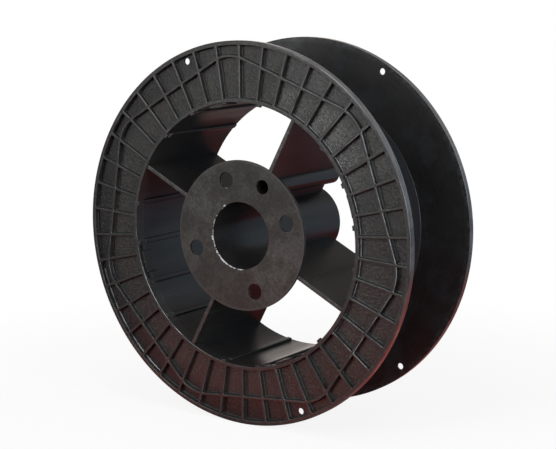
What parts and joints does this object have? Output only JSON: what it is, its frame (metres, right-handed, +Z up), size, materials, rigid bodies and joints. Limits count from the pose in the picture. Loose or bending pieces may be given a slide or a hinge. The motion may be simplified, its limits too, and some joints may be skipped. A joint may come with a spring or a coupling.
{
  "type": "welding wire spool",
  "caption": "Empty plastic spool for welding wire: ribbed flanges on a hollow barrel, with spokes, a spindle bore and a drive hole in its hub.",
  "frame": {"origin": "on the ground under the middle of the spool, which stands on its two rims", "axes": "+Z up, +Y along the spindle bore from the ribbed front flange to the rear flange, +X to the right as the front is seen"},
  "size_m": [0.3, 0.1, 0.3],
  "materials": {
    "black_plastic": "moulded, matte charcoal black, lightly scuffed"
  },
  "bodies": {
    "root": {"front_flange": "black_plastic", "drum_body": "black_plastic"}
  },
  "joints": []
}
